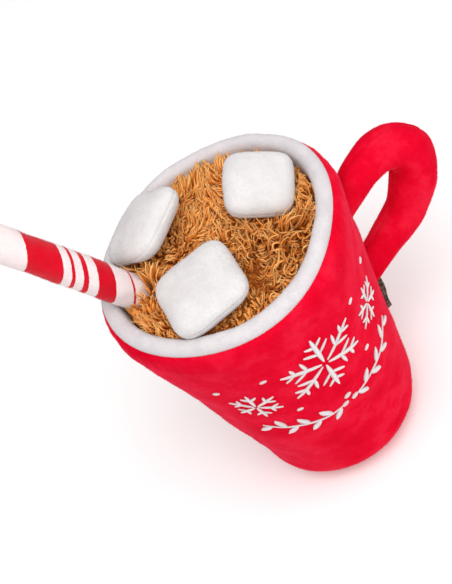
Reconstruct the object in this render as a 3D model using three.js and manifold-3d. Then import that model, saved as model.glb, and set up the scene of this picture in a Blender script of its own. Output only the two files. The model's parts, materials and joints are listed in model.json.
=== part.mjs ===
// A stuffed toy mug of hot chocolate: a red velour mug with a padded handle and a sewn-in side tab,
// a white fleece rim, a curly brown pile for the drink, pillow marshmallows and a stuffed straw.
// Millimetres, +Z up. The mug stands on the XY plane with its axis on Z and its handle towards +X.

import * as THREE from 'three';
import { mergeVertices } from 'three/addons/utils/BufferGeometryUtils.js';
import Module from 'manifold-3d';

const wasm = await Module();
wasm.setup();

// Clearance between pieces that are sewn or rest together
const GAP = 0.35;
const MERGE_DISTANCE = 1e-3;
const SLIVER = 0.03;

// Mug body: tapered flank, soft base corner, a recess that holds the pile
const SEAM_HEIGHT = 132;
const SEAM_RADIUS = 49.1;
const ROLL_HEIGHT = 123;
const ROLL_RADIUS = 51.2;
const ROLL_TIGHTNESS = 4;
const BASE_RADIUS = 33.2;
const BASE_FLAT_RADIUS = 18;
const CORNER_HEIGHT = 18;
const CORNER_STEPS = 6;
const FLANK_STEPS = 7;
const ROLL_STEPS = 4;
const RECESS_RADIUS = 41.5;
const RECESS_FLOOR = 116;
const AROUND = 48;

// Hand-sewn unevenness of the round: share of the radius and direction of each lobe
const LOBES = [
  { count: 1, share: 0.0183, towards: -101 },
  { count: 2, share: 0.0285, towards: 22 },
  { count: 3, share: 0.015, towards: 24 },
  { count: 4, share: 0.0117, towards: 0 },
];

// White rim: a padded half-round roll on top of the wall
const RIM_INNER_RADIUS = 42.4;
const RIM_HEIGHT = 3.8;
const RIM_FULLNESS = 0.75;
const RIM_STEPS = 12;

// Drink: a low dome of backing with curly locks standing on it
const PILE_RADIUS = RECESS_RADIUS - GAP;
const CORE_RADIUS = PILE_RADIUS - 0.5;
const PILE_EDGE_HEIGHT = 129;
const PILE_DOME = 4;
const PILE_STEPS = 5;
const LOCK_COUNT = 84;
const LOCK_LENGTH = 6.6;
const LOCK_RADIUS = 2.6;
const LOCK_SINK = 2.4;
const LOCK_CURL = 3.2;
const LOCK_SIDES = 5;
const LOCK_SEED = 7;

// Marshmallows: puffed square pillows, leaning about X and Y after they are turned about Z
const PILLOW_THICKNESS = 15;
const PILLOW_SQUARENESS = 4.5;
const PILLOW_PUFF = 0.62;
const PILLOW_AROUND = 24;
const PILLOW_UPRIGHT = 12;
const MARSHMALLOWS = [
  { name: 'marshmallow_front', side: 33.4, centre: [-17, -19.4, 139], lean: [0, -5], turn: -11 },
  { name: 'marshmallow_handle_side', side: 27.6, centre: [26.3, 0, 139.5], lean: [22, 17], turn: -34 },
  { name: 'marshmallow_straw_side', side: 32.4, centre: [-15.2, 22.1, 142.5], lean: [-24.5, -16.5], turn: -61 },
];

// Straw: a stuffed tube that leans out over the rim on the side away from the handle
const STRAW_RADIUS = 6.6;
const STRAW_LENGTH = 103;
const STRAW_END_ROUND = 4;
const STRAW_AROUND = 20;
const STRAW_LEAN = 21.5;
const STRAW_FOOT = [-29.2, 8.25, 120];

// Handle: a padded loop in the XZ plane, fuller at the bend
const HANDLE_LEG_RADIUS = 7.2;
const HANDLE_BEND_RADIUS = 10.1;
const HANDLE_AROUND = 18;
const HANDLE_ALONG = 32;
const HANDLE_ROUTE = [
  [40, 98.5], [52, 102.4], [63.4, 106.9], [72, 108], [79.3, 104.2], [83.5, 96.4],
  [82.3, 87.9], [77.5, 79.9], [69.5, 72], [56, 66.1], [40, 61.5],
];

// Side tab: a folded ribbon caught in the side seam below the handle
const TAB_LOW = 33;
const TAB_HIGH = 52;
const TAB_REACH = 5.5;
const TAB_THICKNESS = 1.4;
const TAB_CORNER = 2.5;
const TAB_ROOT = 4;

const velour = new THREE.MeshStandardMaterial({ color: 0xd8102a, roughness: 0.9, metalness: 0 });
const fleece = new THREE.MeshStandardMaterial({ color: 0xf1efef, roughness: 0.95, metalness: 0 });
const cocoa = new THREE.MeshStandardMaterial({ color: 0xb97434, roughness: 0.9, metalness: 0 });
const stripes = new THREE.MeshStandardMaterial({ color: 0xf3e6e6, roughness: 0.85, metalness: 0 });
const ribbon = new THREE.MeshStandardMaterial({ color: 0x2a211c, roughness: 0.8, metalness: 0 });

// Radius of the flank at a height: a straight taper that rolls in to the seam under the rim
function flankRadius(height) {
  if (height <= ROLL_HEIGHT) {
    return THREE.MathUtils.lerp(BASE_RADIUS, ROLL_RADIUS, height / ROLL_HEIGHT);
  }
  const share = (height - ROLL_HEIGHT) / (SEAM_HEIGHT - ROLL_HEIGHT);
  return THREE.MathUtils.lerp(ROLL_RADIUS, SEAM_RADIUS, share ** ROLL_TIGHTNESS);
}

// Scale of the round at an angle and height: true at the base, uneven at the rim
function unevenness(angle, height) {
  const strength = THREE.MathUtils.clamp(height / SEAM_HEIGHT, 0, 1) ** 2;
  let scale = 1;
  for (const lobe of LOBES) {
    const towards = THREE.MathUtils.degToRad(lobe.towards);
    scale += strength * lobe.share * Math.cos(lobe.count * (angle - towards));
  }
  return scale;
}

// Moves every corner of a geometry by a function of its place
function reshape(geometry, move) {
  const position = geometry.attributes.position;
  const point = new THREE.Vector3();
  for (let i = 0; i < position.count; i += 1) {
    move(point.fromBufferAttribute(position, i));
    position.setXYZ(i, point.x, point.y, point.z);
  }
  return geometry;
}

// Closed solid from a geometry, with shared corners merged and collapsed faces left out
function solidOf(geometry) {
  const bare = geometry.clone();
  bare.deleteAttribute('normal');
  bare.deleteAttribute('uv');
  const merged = mergeVertices(bare, MERGE_DISTANCE);
  const index = merged.index.array;
  const corners = [];
  for (let i = 0; i < index.length; i += 3) {
    const [a, b, c] = [index[i], index[i + 1], index[i + 2]];
    if (a !== b && b !== c && c !== a) {
      corners.push(a, b, c);
    }
  }
  const mesh = new wasm.Mesh({
    numProp: 3,
    vertProperties: merged.attributes.position.array,
    triVerts: Uint32Array.from(corners),
  });
  return new wasm.Manifold(mesh);
}

// Geometry of a solid, without the slivers that cutting leaves
function geometryOf(solid) {
  const mesh = solid.simplify(SLIVER).getMesh();
  const geometry = new THREE.BufferGeometry();
  geometry.setAttribute('position', new THREE.BufferAttribute(mesh.vertProperties, 3));
  geometry.setIndex(new THREE.BufferAttribute(mesh.triVerts, 1));
  geometry.computeVertexNormals();
  return geometry;
}

function largestPiece(solid) {
  const pieces = solid.decompose();
  return pieces.reduce((best, piece) => (piece.volume() > best.volume() ? piece : best));
}

// Turned piece about the mug's axis, carrying the mug's unevenness; points are (radius, height)
function turnedPiece(points) {
  const geometry = new THREE.LatheGeometry(points.map(([r, z]) => new THREE.Vector2(r, z)), AROUND);
  geometry.rotateX(Math.PI / 2);
  reshape(geometry, (point) => {
    const scale = unevenness(Math.atan2(point.y, point.x), point.z);
    point.x *= scale;
    point.y *= scale;
  });
  return solidOf(geometry);
}

// Outside of the mug from the middle of its base up to the seam, grown outwards by a clearance
function mugOutside(clearance) {
  const points = [[0, -clearance], [BASE_FLAT_RADIUS, -clearance]];
  const cornerReach = flankRadius(CORNER_HEIGHT) - BASE_FLAT_RADIUS + clearance;
  for (let step = 1; step < CORNER_STEPS; step += 1) {
    const angle = (step / CORNER_STEPS) * (Math.PI / 2);
    const rise = (CORNER_HEIGHT + clearance) * (1 - Math.cos(angle));
    points.push([BASE_FLAT_RADIUS + cornerReach * Math.sin(angle), rise - clearance]);
  }
  for (let step = 0; step < FLANK_STEPS; step += 1) {
    const height = THREE.MathUtils.lerp(CORNER_HEIGHT, ROLL_HEIGHT, step / FLANK_STEPS);
    points.push([flankRadius(height) + clearance, height]);
  }
  for (let step = 0; step <= ROLL_STEPS; step += 1) {
    const height = THREE.MathUtils.lerp(ROLL_HEIGHT, SEAM_HEIGHT, step / ROLL_STEPS);
    points.push([flankRadius(height) + clearance, height]);
  }
  return points;
}

function mugBody() {
  const points = mugOutside(0);
  points.push([RECESS_RADIUS, SEAM_HEIGHT], [RECESS_RADIUS, RECESS_FLOOR], [0, RECESS_FLOOR]);
  return turnedPiece(points);
}

// Filled-in mug, a clearance larger all round, that trims what is sewn to its side
function mugEnvelope() {
  const points = mugOutside(GAP);
  points.push([0, SEAM_HEIGHT]);
  return turnedPiece(points);
}

function rimRoll() {
  const middle = (SEAM_RADIUS + RIM_INNER_RADIUS) / 2;
  const half = (SEAM_RADIUS - RIM_INNER_RADIUS) / 2;
  const foot = SEAM_HEIGHT + GAP;
  const points = [];
  for (let step = 0; step <= RIM_STEPS; step += 1) {
    const angle = (step / RIM_STEPS) * Math.PI;
    const rise = RIM_HEIGHT * Math.sin(angle) ** RIM_FULLNESS;
    points.push([middle + half * Math.cos(angle), foot + rise]);
  }
  points.push(points[0]);
  return turnedPiece(points);
}

// Square pillow about its own centre: a sphere pushed out to a rounded square and flattened
function pillow(side, thickness) {
  const geometry = new THREE.SphereGeometry(1, PILLOW_AROUND, PILLOW_UPRIGHT);
  geometry.rotateX(Math.PI / 2);
  return reshape(geometry, (point) => {
    const flat = Math.hypot(point.x, point.y);
    const angle = Math.atan2(point.y, point.x);
    const corner = Math.abs(Math.cos(angle)) ** PILLOW_SQUARENESS
      + Math.abs(Math.sin(angle)) ** PILLOW_SQUARENESS;
    const reach = (side / 2) * corner ** (-1 / PILLOW_SQUARENESS) * flat ** PILLOW_PUFF;
    point.x = reach * Math.cos(angle);
    point.y = reach * Math.sin(angle);
    point.z *= thickness / 2;
  });
}

// Straw standing on the origin along +Z, with a softly rounded free end
function strawTube(radius, length) {
  const round = STRAW_END_ROUND;
  const points = [[0, 0], [radius, 0], [radius, length - round]];
  for (let step = 1; step <= 3; step += 1) {
    const angle = (step / 4) * (Math.PI / 2);
    points.push([
      radius - round * (1 - Math.cos(angle)),
      length - round * (1 - Math.sin(angle)),
    ]);
  }
  points.push([radius - round, length], [0, length]);
  const geometry = new THREE.LatheGeometry(points.map(([r, z]) => new THREE.Vector2(r, z)), STRAW_AROUND);
  return geometry.rotateX(Math.PI / 2);
}

// Padded loop: a cylinder bent along the handle's route
function handleLoop() {
  const route = new THREE.CatmullRomCurve3(HANDLE_ROUTE.map(([x, z]) => new THREE.Vector3(x, 0, z)));
  const sideways = new THREE.Vector3(0, 1, 0);
  const geometry = new THREE.CylinderGeometry(1, 1, 1, HANDLE_AROUND, HANDLE_ALONG);
  reshape(geometry, (point) => {
    const along = point.y + 0.5;
    const across = new THREE.Vector3().crossVectors(sideways, route.getTangentAt(along));
    const swell = Math.sin(along * Math.PI) ** 4;
    const radius = THREE.MathUtils.lerp(HANDLE_LEG_RADIUS, HANDLE_BEND_RADIUS, swell);
    const offset = across.multiplyScalar(-point.x * radius).addScaledVector(sideways, point.z * radius);
    point.copy(route.getPointAt(along)).add(offset);
  });
  return solidOf(geometry);
}

// Folded ribbon standing out of the flank, its outer edge parallel to the flank's slope
function sideTab() {
  const low = flankRadius(TAB_LOW);
  const high = flankRadius(TAB_HIGH);
  const shape = new THREE.Shape();
  shape.moveTo(low - TAB_ROOT, TAB_LOW);
  shape.lineTo(low + TAB_REACH - TAB_CORNER, TAB_LOW);
  shape.quadraticCurveTo(low + TAB_REACH, TAB_LOW, low + TAB_REACH, TAB_LOW + TAB_CORNER);
  shape.lineTo(high + TAB_REACH, TAB_HIGH - TAB_CORNER);
  shape.quadraticCurveTo(high + TAB_REACH, TAB_HIGH, high + TAB_REACH - TAB_CORNER, TAB_HIGH);
  shape.lineTo(high - TAB_ROOT, TAB_HIGH);
  shape.closePath();
  const geometry = new THREE.ExtrudeGeometry(shape, {
    depth: TAB_THICKNESS,
    bevelEnabled: false,
    curveSegments: 3,
  });
  geometry.translate(0, 0, -TAB_THICKNESS / 2);
  return solidOf(geometry.rotateX(Math.PI / 2));
}

// Repeatable draw between 0 and 1
function seededDraw(seed) {
  let state = seed;
  return () => {
    state = (state * 16807) % 2147483647;
    return state / 2147483647;
  };
}

function pileHeight(radius) {
  return PILE_EDGE_HEIGHT + PILE_DOME * (1 - (radius / CORE_RADIUS) ** 2);
}

// One curly lock, standing on the dome at a place and bending towards an angle
function pileLock(radius, angle, bend, size) {
  const length = LOCK_LENGTH * size;
  const geometry = new THREE.ConeGeometry(LOCK_RADIUS * size, length, LOCK_SIDES, 2);
  geometry.rotateX(Math.PI / 2);
  geometry.translate(0, 0, length / 2);
  reshape(geometry, (point) => {
    point.x += LOCK_CURL * size * (point.z / length) ** 2;
  });
  geometry.rotateZ(bend);
  geometry.translate(
    radius * Math.cos(angle),
    radius * Math.sin(angle),
    pileHeight(radius) - LOCK_SINK,
  );
  return solidOf(geometry);
}

// Locks spread evenly over the dome by the golden angle, bending along its swirl
function pileLocks() {
  const draw = seededDraw(LOCK_SEED);
  const goldenAngle = Math.PI * (3 - Math.sqrt(5));
  const reach = PILE_RADIUS - LOCK_RADIUS;
  const locks = [];
  for (let i = 0; i < LOCK_COUNT; i += 1) {
    const radius = reach * Math.sqrt((i + 0.5) / LOCK_COUNT);
    const angle = i * goldenAngle;
    const bend = angle + Math.PI / 2 + (draw() - 0.5) * Math.PI;
    locks.push(pileLock(radius, angle, bend, 0.8 + 0.4 * draw()));
  }
  return wasm.Manifold.union(locks);
}

// Everything that may be filled by the pile: the recess and the space straight above it
function pileRoom() {
  const ceiling = SEAM_HEIGHT + LOCK_LENGTH * 2;
  return turnedPiece([
    [0, RECESS_FLOOR],
    [PILE_RADIUS, RECESS_FLOOR],
    [PILE_RADIUS, ceiling],
    [0, ceiling],
  ]);
}

function cocoaPile(toppings) {
  const points = [[0, RECESS_FLOOR + GAP], [CORE_RADIUS, RECESS_FLOOR + GAP]];
  for (let step = PILE_STEPS; step >= 0; step -= 1) {
    const radius = (CORE_RADIUS * step) / PILE_STEPS;
    points.push([radius, pileHeight(radius)]);
  }
  const heap = turnedPiece(points).add(pileLocks()).intersect(pileRoom());
  return largestPiece(heap.subtract(toppings));
}

function namedMesh(name, geometry, material) {
  const mesh = new THREE.Mesh(geometry, material);
  mesh.name = name;
  return mesh;
}

// Sets a mesh in place and gives its envelope, a clearance larger all round, as a solid there
function envelopeOf(mesh, grownGeometry) {
  mesh.updateMatrix();
  return solidOf(grownGeometry.applyMatrix4(mesh.matrix));
}

const group = new THREE.Group();
const envelopes = [];

for (const { name, side, centre, lean, turn } of MARSHMALLOWS) {
  const mesh = namedMesh(name, geometryOf(solidOf(pillow(side, PILLOW_THICKNESS))), fleece);
  const [leanX, leanY, turnZ] = [...lean, turn].map(THREE.MathUtils.degToRad);
  mesh.position.set(...centre);
  mesh.rotation.set(leanX, leanY, turnZ, 'YXZ');
  envelopes.push(envelopeOf(mesh, pillow(side + 2 * GAP, PILLOW_THICKNESS + 2 * GAP)));
  group.add(mesh);
}

const straw = namedMesh('straw', geometryOf(solidOf(strawTube(STRAW_RADIUS, STRAW_LENGTH))), stripes);
straw.position.set(...STRAW_FOOT);
straw.rotation.y = -THREE.MathUtils.degToRad(STRAW_LEAN);
const grownStraw = strawTube(STRAW_RADIUS + GAP, STRAW_LENGTH + 2 * GAP).translate(0, 0, -GAP);
envelopes.push(envelopeOf(straw, grownStraw));
group.add(straw);

const toppings = wasm.Manifold.union(envelopes);
const mugTrim = mugEnvelope();

group.add(namedMesh('mug_body', geometryOf(mugBody()), velour));
group.add(namedMesh('rim', geometryOf(largestPiece(rimRoll().subtract(toppings))), fleece));
group.add(namedMesh('cocoa_pile', geometryOf(cocoaPile(toppings)), cocoa));
group.add(namedMesh('handle', geometryOf(largestPiece(handleLoop().subtract(mugTrim))), velour));
group.add(namedMesh('side_tab', geometryOf(largestPiece(sideTab().subtract(mugTrim))), ribbon));

export default group;
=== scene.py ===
"""A stuffed toy mug of hot chocolate in its fabrics: velour, fleece, curly pile and printed plush.

Metres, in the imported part's own frame: the mug stands on the XY plane, its axis is Z and its handle
points to +X. Every piece is built where its solid stands and takes that solid's place.
"""

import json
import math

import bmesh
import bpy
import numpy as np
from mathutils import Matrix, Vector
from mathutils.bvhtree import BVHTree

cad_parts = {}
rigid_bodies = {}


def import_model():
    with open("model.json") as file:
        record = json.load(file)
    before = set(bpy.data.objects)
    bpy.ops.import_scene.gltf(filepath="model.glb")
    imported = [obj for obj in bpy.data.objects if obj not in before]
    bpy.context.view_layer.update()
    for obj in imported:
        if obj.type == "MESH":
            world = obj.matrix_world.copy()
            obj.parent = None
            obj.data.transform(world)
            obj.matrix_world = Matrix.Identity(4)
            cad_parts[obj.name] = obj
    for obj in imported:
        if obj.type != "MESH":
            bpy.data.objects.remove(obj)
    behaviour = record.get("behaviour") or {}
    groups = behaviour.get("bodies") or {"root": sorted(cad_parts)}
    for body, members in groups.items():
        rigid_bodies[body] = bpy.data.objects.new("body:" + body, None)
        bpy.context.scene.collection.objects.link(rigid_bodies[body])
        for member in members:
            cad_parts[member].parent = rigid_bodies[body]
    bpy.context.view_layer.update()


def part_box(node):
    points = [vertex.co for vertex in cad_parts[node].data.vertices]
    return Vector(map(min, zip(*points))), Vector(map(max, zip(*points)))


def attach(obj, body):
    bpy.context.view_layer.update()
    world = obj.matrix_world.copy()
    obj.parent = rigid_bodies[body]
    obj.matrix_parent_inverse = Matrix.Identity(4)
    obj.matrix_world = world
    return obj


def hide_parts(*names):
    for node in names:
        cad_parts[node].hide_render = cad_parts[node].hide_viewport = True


bl_info = {
    "name": "Plush Mug of Hot Chocolate",
    "version": (1, 0, 0),
    "blender": (4, 5, 0),
    "location": "View3D > Sidebar > Plush Mug",
    "description": "Builds a stuffed toy mug with a fleece rim, curly pile, marshmallows and a straw",
    "category": "Add Mesh",
}

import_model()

MM = 0.001
TURN = 2 * math.pi
VECTOR = "FLOAT_VECTOR"

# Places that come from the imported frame
SEAM_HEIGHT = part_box("mug_body")[1].z
RIM_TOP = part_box("rim")[1].z

# Hand-sewn unevenness of the round: lobes, share of the radius, direction in degrees
LOBES = ((1, 0.0183, -101), (2, 0.0285, 22), (3, 0.015, 24), (4, 0.0117, 0))

# Lumps of the stuffing: height, breadth and seed of the large and of the small ones
STUFFING = {
    "body": ((0.55 * MM, 46 * MM, 3), (0.16 * MM, 13 * MM, 5)),
    "handle": ((0.40 * MM, 24 * MM, 8), (0.14 * MM, 8 * MM, 9)),
    "rim": ((0.35 * MM, 22 * MM, 12), (0.12 * MM, 7 * MM, 13)),
    "straw": ((0.22 * MM, 20 * MM, 21), (0.08 * MM, 7 * MM, 22)),
}
LUMP_WAVES = 14

# Seams: how deep they pull a cover in, and how wide they are
SEAMS = {
    "side": (0.55 * MM, 0.9 * MM),
    "base": (0.70 * MM, 0.9 * MM),
    "handle": (0.50 * MM, 0.7 * MM),
    "straw": (0.40 * MM, 0.6 * MM),
    "marshmallow": (0.22 * MM, 0.5 * MM),
}
SIDE_SEAM_WRAP = 44 * MM
BASE_SEAM_SHARE = 0.22

# Gathers beside the sewn edges: their number, their reach, their depth at the rim and at the base
GATHERS = 58
GATHER_REACH = 4 * MM
RIM_GATHERS = 0.13 * MM
RIM_GATHERS_HEIGHT = 127 * MM
BASE_GATHERS = 0.20 * MM

# Mug: heights between which its flank is lumpy, and the edge of its cover inside the rim, as
# millimetres in from the seam's radius and down from its height
LUMPY_LOW = (2 * MM, 14 * MM)
LUMPY_HIGH = (126 * MM, 131 * MM)
COVER_EDGE = ((-0.15, 0.5), (0.5, 0), (1.4, 0.3), (2.2, 1.6), (2.6, 5), (5, 14))
DISH_DEPTH = 15 * MM
POLE_RADIUS = 0.4 * MM

# Marshmallows: node, side, lean about X and Y in degrees, turn about Z in degrees
MARSHMALLOWS = (
    ("marshmallow_front", 33.4 * MM, (0, -5), -11),
    ("marshmallow_handle_side", 27.6 * MM, (22, 17), -34),
    ("marshmallow_straw_side", 32.4 * MM, (-24.5, -16.5), -61),
)
PILLOW_SQUARENESS = 4.5
PILLOW_PUFF = 0.62
PILLOW_LUMPS = (0.3 * MM, 15 * MM)
PILLOW_SEED = 30

# Stuffing of a marshmallow: how much smaller it is sewn in side and in thickness, the pressure, how far
# it may swell, and the scale that it is done at, because the cloth solver is tuned for larger things
SEWN_NARROWER = 0.8 * MM
SEWN_THINNER = 1.2 * MM
STUFFING_PRESSURE = 4.0
STUFFING_SWELL = 2.0 * MM
STUFFING_SCALE = 10.0
STUFFING_FRAMES = 20

# Middle line of the handle's loop in the XZ plane, in millimetres, and how deep its ends are sewn in
HANDLE_ROUTE = (
    (40, 98.5), (52, 102.4), (63.4, 106.9), (72, 108), (79.3, 104.2), (83.5, 96.4),
    (82.3, 87.9), (77.5, 79.9), (69.5, 72), (56, 66.1), (40, 61.5),
)
SEWN_DEPTH = 1.2 * MM

# Straw: where its axis starts, where it comes out of the pile, its rounded end, and its red stripes as
# middle and width in millimetres along it from the pile upwards
STRAW_FOOT = Vector((-29.2, 8.25, 120)) * MM
STRAW_ENTRY = 16.7 * MM
STRAW_ROUNDING = 2.2 * MM
STRIPES = ((2.6, 1.1), (16.8, 8.9), (27.6, 2.6), (34.0, 1.8), (47.6, 17.1), (80.0, 1.1))
STRIPE_SLANT = 0.66
STRAW_FACE_ANGLE = math.radians(-90)

# Front of the flank where the ornament is embroidered, and the radius its flat drawing is wrapped at
FRONT_ANGLE = math.radians(-91)
FRONT_RADIUS = 45 * MM
STITCH_LIFT = 0.25 * MM
STITCH_SLANT = 0.3
STROKE_POINTS = 9

# Tab: thickness of the ribbon and the gap inside its fold
RIBBON = 0.42 * MM
RIBBON_GAP = 0.30 * MM

# Pile: the way that most of it leans, the way it fans out to, how strongly it does each, where it is
# tousled and how far round, and its rise round the straw
COMBED_WAY = np.array([0.58, 0.81])
FANNED_WAY = np.array([0.57, -0.82])
COMBED = 0.4
FANNED = 0.6
TOUSLED_SPOT = np.array([12, -28]) * MM
TOUSLED_REACH = 24 * MM
PILE_MOUND = 3 * MM
PILE_MOUND_REACH = 5 * MM

# Pile layers: name, share of the strands' length and of their width, seed
PILE_LAYERS = (("pile_strands", 1.0, 1.0, 4), ("pile_undercoat", 0.8, 0.9, 23))

# Strands: how upright they stand, how much a lean lowers them, how their tips droop and how much they
# gather to the middle of their lock
STRAND_POINTS = 10
STRAND_LIFT = 0.85
STRAND_LOWERING = 0.45
STRAND_DROOP = 0.25
STRAND_GATHER = 0.7
SEED_STEP = 11.0

# Napped covers: slot, fibres for each square metre, share of the nap's length, the way it is brushed
FLEECE_NAP = ("white_fleece", 4.0e6, 0.5, (0.0, 0.0, 0.0))
NAPPED_COVERS = (
    ("body_cover", "red_velour", 1.0e6, 0.65, (0.0, 0.0, -0.5)),
    ("handle_cover", "red_velour", 1.6e6, 0.65, (0.0, 0.0, -0.4)),
    ("rim_cover", *FLEECE_NAP),
    ("marshmallow_front_cover", *FLEECE_NAP),
    ("marshmallow_handle_side_cover", *FLEECE_NAP),
    ("marshmallow_straw_side_cover", *FLEECE_NAP),
    ("straw_cover", "striped_plush", 3.0e6, 0.8, (0.0, 0.0, 0.3)),
)
NAP_LOOSE = 0.75
NAP_SEED = 60

# Stage: places and widths of the soft lights, the point they face, and half the floor's width
KEY_PLACE = (-0.05, -0.48, 0.98)
KEY_WIDTH = 0.8
FILL_PLACE = (0.75, -0.55, 0.45)
FILL_WIDTH = 0.6
LIT_POINT = Vector((0, 0, 0.09))
FLOOR_HALF = 3.0


def length(name, description, default):
    """A length in metres that a user may change."""
    return bpy.props.FloatProperty(
        name=name, description=description, default=default, min=0.0, precision=5, unit="LENGTH"
    )


def angle(name, description, degrees):
    """An angle that a user may change."""
    return bpy.props.FloatProperty(
        name=name, description=description, default=math.radians(degrees), subtype="ANGLE"
    )


def colour(name, description, default):
    """A linear colour that a user may change."""
    return bpy.props.FloatVectorProperty(
        name=name, description=description, default=default, min=0.0, max=1.0, size=3, subtype="COLOR"
    )


def amount(name, description, default, unit="NONE"):
    """A number that a user may change."""
    return bpy.props.FloatProperty(name=name, description=description, default=default, unit=unit)


class PlushSizes(bpy.types.PropertyGroup):
    """Sizes of the toy's pieces."""

    seam_radius: length("Seam radius", "Radius of the seam under the rim", 49.1 * MM)
    roll_height: length("Roll height", "Height where the flank starts to roll in", 123 * MM)
    roll_radius: length("Roll radius", "Largest radius of the flank", 51.2 * MM)
    base_radius: length("Base radius", "Radius that the flank would have at the floor", 33.2 * MM)
    base_flat: length("Base flat", "Radius of the flat that the mug stands on", 18 * MM)
    corner_height: length("Corner height", "Height of the soft corner of the base", 18 * MM)
    rim_inner: length("Rim inside", "Radius of the rim's inner side", 42.4 * MM)
    pile_radius: length("Pile radius", "Radius of the pile's backing", 41.6 * MM)
    pile_edge: length("Pile edge", "Height of the backing at the rim", 128 * MM)
    pile_dome: length("Pile dome", "Rise of the backing in the middle", 4.5 * MM)
    strand_length: length("Strand length", "Length of a pile strand", 11.0 * MM)
    strand_width: length("Strand width", "Thickness of a pile strand", 1.3 * MM)
    strand_curl: length("Strand curl", "Reach of a pile strand's waves", 1.8 * MM)
    lock: length("Lock", "Breadth of the pointed locks that strands gather in", 3.6 * MM)
    strand_spacing: length("Strand spacing", "Least distance between strands", 1.4 * MM)
    pillow_thickness: length("Marshmallow thickness", "Height of a stuffed marshmallow", 15 * MM)
    straw_radius: length("Straw radius", "Radius of the straw", 6.6 * MM)
    straw_length: length("Straw length", "Length of the straw with its sewn-in foot", 103 * MM)
    straw_lean: angle("Straw lean", "Lean of the straw away from the handle", 21.5)
    handle_leg: length("Handle leg", "Radius of the handle at the mug", 7.2 * MM)
    handle_bend: length("Handle bend", "Radius of the handle at its bend", 10.1 * MM)
    tab_low: length("Tab low", "Height of the tab's lower edge", 33 * MM)
    tab_high: length("Tab high", "Height of the tab's upper edge", 52 * MM)
    tab_reach: length("Tab reach", "How far the tab stands out", 5.5 * MM)
    thread: length("Thread", "Thickness of the embroidery thread", 0.42 * MM)
    nap: length("Nap", "Length of the fabrics' nap", 0.8 * MM)
    nap_fibre: length("Nap fibre", "Thickness of a fibre of the nap", 0.09 * MM)


class PlushColours(bpy.types.PropertyGroup):
    """Colours of the toy's fabrics."""

    red: colour("Red", "Velour", (0.70, 0.004, 0.026))
    # Deep red and pale red are painted shade and painted sheen in the velour's nap patches; deep red is also
    # the printed stripes' own red.
    red_deep: colour("Deep red", "Velour brushed the other way", (0.60, 0.001, 0.014))
    red_sheen: colour("Pale red", "Tips of the velour nap", (0.75, 0.025, 0.056))
    white: colour("White", "Fleece", (0.66, 0.638, 0.633))
    # Deep white and pale white are painted shade and painted sheen in the fleece's nap patches; deep white
    # also darkens the thread's twist.
    white_deep: colour("Deep white", "Hollows of the fleece", (0.62, 0.597, 0.592))
    white_sheen: colour("Pale white", "Tips of the fleece", (0.725, 0.704, 0.699))
    rim: colour("Rim", "Fleece of the rim, a little greyer", (0.63, 0.59, 0.605))
    plush: colour("Straw white", "Plush of the straw", (0.83, 0.725, 0.72))
    # Cocoa root is partly the pile's own dark root and partly painted shade of the gaps between strands;
    # cocoa tip is partly its golden tip and partly a painted highlight.
    cocoa_root: colour("Cocoa root", "Pile at its roots", (0.30, 0.065, 0.007))
    cocoa: colour("Cocoa", "Pile", (1.0, 0.33, 0.045))
    cocoa_tip: colour("Cocoa tip", "Pile at its tips", (1.0, 0.61, 0.22))
    ribbon: colour("Ribbon", "Side tab", (0.045, 0.036, 0.028))
    ribbon_pale: colour("Ribbon weft", "Pale threads of the side tab", (0.34, 0.31, 0.24))
    thread: colour("Thread", "Embroidery", (0.72, 0.66, 0.67))
    floor: colour("Floor", "Studio floor", (0.97, 0.97, 0.97))


class PlushStage(bpy.types.PropertyGroup):
    """Camera and light."""

    azimuth: angle("Azimuth", "Direction that the camera looks from", -6.0)
    elevation: angle("Elevation", "Height of the camera above the horizon", 46.87)
    roll: angle("Roll", "Roll of the camera", -38.42)
    place: bpy.props.FloatVectorProperty(
        name="Place", description="Place of the camera", default=(-0.05268, -0.42129, 0.56053), unit="LENGTH"
    )
    lens: amount("Lens", "Focal length in millimetres", 98.63)
    sky: amount("Sky", "Strength of the even light all round", 0.71)
    key: amount("Key", "Power of the main soft light", 7.8, "POWER")
    fill: amount("Fill", "Power of the side light", 1.5, "POWER")


def sizes():
    """The sizes in use."""
    return bpy.context.scene.plush_sizes


def colours():
    """The colours in use."""
    return bpy.context.scene.plush_colours


# Meshes


def new_object(name, points, faces, material=None):
    """A smooth mesh object with its faces pointing outwards."""
    mesh = bpy.data.meshes.new(name)
    mesh.from_pydata(np.asarray(points).tolist(), [], faces)
    work = bmesh.new()
    work.from_mesh(mesh)
    bmesh.ops.recalc_face_normals(work, faces=work.faces)
    work.to_mesh(mesh)
    work.free()
    mesh.polygons.foreach_set("use_smooth", [True] * len(mesh.polygons))
    if material:
        mesh.materials.append(material)
    thing = bpy.data.objects.new(name, mesh)
    bpy.context.scene.collection.objects.link(thing)
    return thing


def places(mesh):
    """The corners of a mesh as an array."""
    flat = np.empty(len(mesh.vertices) * 3, np.float32)
    mesh.vertices.foreach_get("co", flat)
    return flat.reshape(-1, 3).astype(float)


def keep(mesh, name, values):
    """Keeps a number or a vector on each corner of a mesh."""
    values = np.asarray(values, np.float32)
    kind, field = (VECTOR, "vector") if values.ndim == 2 else ("FLOAT", "value")
    mesh.attributes.new(name, kind, "POINT").data.foreach_set(field, values.ravel())


def quads(rows, around, wrap=False):
    """Faces over rows of corners that run round a piece, the last row joined to the first where it wraps."""
    first = np.arange(rows if wrap else rows - 1)[:, None]
    column = np.arange(around)[None, :]
    following = (first + 1) % rows
    beside = (column + 1) % around
    corners = (first * around + column, first * around + beside,
               following * around + beside, following * around + column)
    return np.stack(corners, axis=-1).reshape(-1, 4).tolist()


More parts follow.
